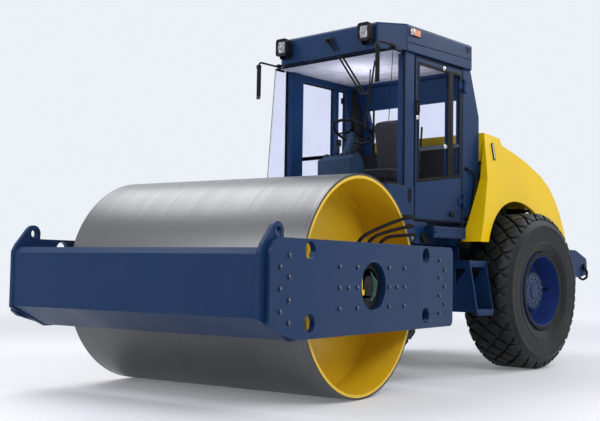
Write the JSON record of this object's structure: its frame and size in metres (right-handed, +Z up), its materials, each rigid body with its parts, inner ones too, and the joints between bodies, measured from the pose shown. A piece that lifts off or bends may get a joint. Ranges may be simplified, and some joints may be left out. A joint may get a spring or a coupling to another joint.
{
  "type": "single drum road roller",
  "caption": "Articulated road roller with a smooth steel drum in a plate frame, a glazed cab, a curved engine hood and block-tread drive wheels.",
  "frame": {"origin": "on the ground under the middle of the machine's bounding box", "axes": "+X forward along the tractor, +Y to its left, +Z up; the drum frame stands turned 8 degrees to the left at rest"},
  "size_m": [6.1561, 2.6898, 3.045],
  "materials": {
    "navy_paint": "semi-gloss",
    "yellow_paint": "gloss",
    "rim_paint": "semi-gloss",
    "drum_steel": "worn",
    "black_paint": "matt",
    "rod_chrome": "polished",
    "tyre": "matt",
    "glass": "clear",
    "seat_fabric": "woven",
    "black_plastic": "matt",
    "hose_rubber": "matt",
    "amber_lens": "gloss",
    "red_lens": "gloss",
    "grey_steel": "cast"
  },
  "bodies": {
    "drum_frame": {"front_beam": "navy_paint", "rear_crossmember": "navy_paint", "centre_tongue": "navy_paint", "side_plate_left": "navy_paint", "side_plate_right": "navy_paint", "hub_carrier_left": "black_paint", "hub_carrier_right": "black_paint", "hoses": "hose_rubber"},
    "drum": {"drum": "drum_steel"},
    "hood": {"hood": "yellow_paint", "hood_grille": "black_paint"},
    "wheel_left": {"tyre_left": "tyre", "rim_left": "rim_paint"},
    "steering_barrel_left": {"steering_barrel_left": "yellow_paint"},
    "steering_rod_left": {"steering_rod_left": "rod_chrome"},
    "door_left": {"door_left": "navy_paint", "door_glass_left": "glass"},
    "wheel_right": {"tyre_right": "tyre", "rim_right": "rim_paint"},
    "steering_barrel_right": {"steering_barrel_right": "yellow_paint"},
    "steering_rod_right": {"steering_rod_right": "rod_chrome"},
    "door_right": {"door_right": "navy_paint", "door_glass_right": "glass"},
    "tractor": {"cab_floor": "navy_paint", "cab_front": "navy_paint", "cab_rear": "navy_paint", "console": "black_plastic", "corner_pane_left": "glass", "corner_pane_right": "glass", "deck": "navy_paint", "engine_block": "grey_steel", "handrails": "black_paint", "ladder_left": "navy_paint", "ladder_right": "navy_paint", "lever_stand": "black_plastic", "mirror_left": "black_plastic", "mirror_right": "black_plastic", "pivot_pin": "grey_steel", "radiator": "black_paint", "rear_axle": "yellow_paint", "rear_bumper": "navy_paint", "rear_window": "glass", "roof": "navy_paint", "seat": "seat_fabric", "seat_base": "black_plastic", "steering_wheel": "black_plastic", "tail_lamps": "red_lens", "tractor_frame": "navy_paint", "turn_lamps": "amber_lens", "windscreen": "glass", "work_lamps": "black_plastic"}
  },
  "joints": [
    {"name": "steering_pivot", "type": "hinge", "parent": "tractor", "child": "drum_frame", "pos_m": [0.09315, -0.19768, 0.79], "axis": [0, 0, 1], "range_deg": [-43, 27], "deforming": ["hoses"]},
    {"name": "drum_spin", "type": "hinge", "parent": "drum_frame", "child": "drum", "pos_m": [1.62806, 0.01804, 0.8], "axis": [-0.1392, 0.9903, 0], "continuous": true},
    {"name": "wheel_spin_left", "type": "hinge", "parent": "tractor", "child": "wheel_left", "pos_m": [-1.48685, 0.69732, 0.74], "axis": [0, 1, 0], "continuous": true},
    {"name": "barrel_swing_left", "type": "hinge", "parent": "tractor", "child": "steering_barrel_left", "pos_m": [-0.60685, 0.23232, 0.79], "axis": [0, 0, 1], "range_deg": [-6, 3.95]},
    {"name": "rod_slide_left", "type": "slide", "parent": "steering_barrel_left", "child": "steering_rod_left", "axis": [0.9959, -0.09, 0], "range_m": [-0.1648, 0.2606]},
    {"name": "door_swing_left", "type": "hinge", "parent": "tractor", "child": "door_left", "pos_m": [-0.73385, 0.51832, 2], "axis": [0, 0, 1], "range_deg": [0, 80]},
    {"name": "wheel_spin_right", "type": "hinge", "parent": "tractor", "child": "wheel_right", "pos_m": [-1.48685, -1.09268, 0.74], "axis": [0, 1, 0], "continuous": true},
    {"name": "barrel_swing_right", "type": "hinge", "parent": "tractor", "child": "steering_barrel_right", "pos_m": [-0.60685, -0.62768, 0.79], "axis": [0, 0, 1], "range_deg": [-6.08, 4]},
    {"name": "rod_slide_right", "type": "slide", "parent": "steering_barrel_right", "child": "steering_rod_right", "axis": [0.992, 0.1264, 0], "range_m": [-0.2631, 0.1663]},
    {"name": "door_swing_right", "type": "hinge", "parent": "tractor", "child": "door_right", "pos_m": [-0.73385, -0.91368, 2], "axis": [0, 0, -1], "range_deg": [0, 80]},
    {"name": "hood_tilt", "type": "hinge", "parent": "tractor", "child": "hood", "pos_m": [-2.59685, -0.19768, 1.18], "axis": [0, -1, 0], "range_deg": [0, 45]}
  ],
  "couplings": [
    {"joint": "barrel_swing_left", "follows": "steering_pivot", "ratio": 0.12784},
    {"joint": "rod_slide_left", "follows": "steering_pivot", "m_per_rad": -0.34329},
    {"joint": "barrel_swing_right", "follows": "steering_pivot", "ratio": 0.12972},
    {"joint": "rod_slide_right", "follows": "steering_pivot", "m_per_rad": 0.34663}
  ]
}
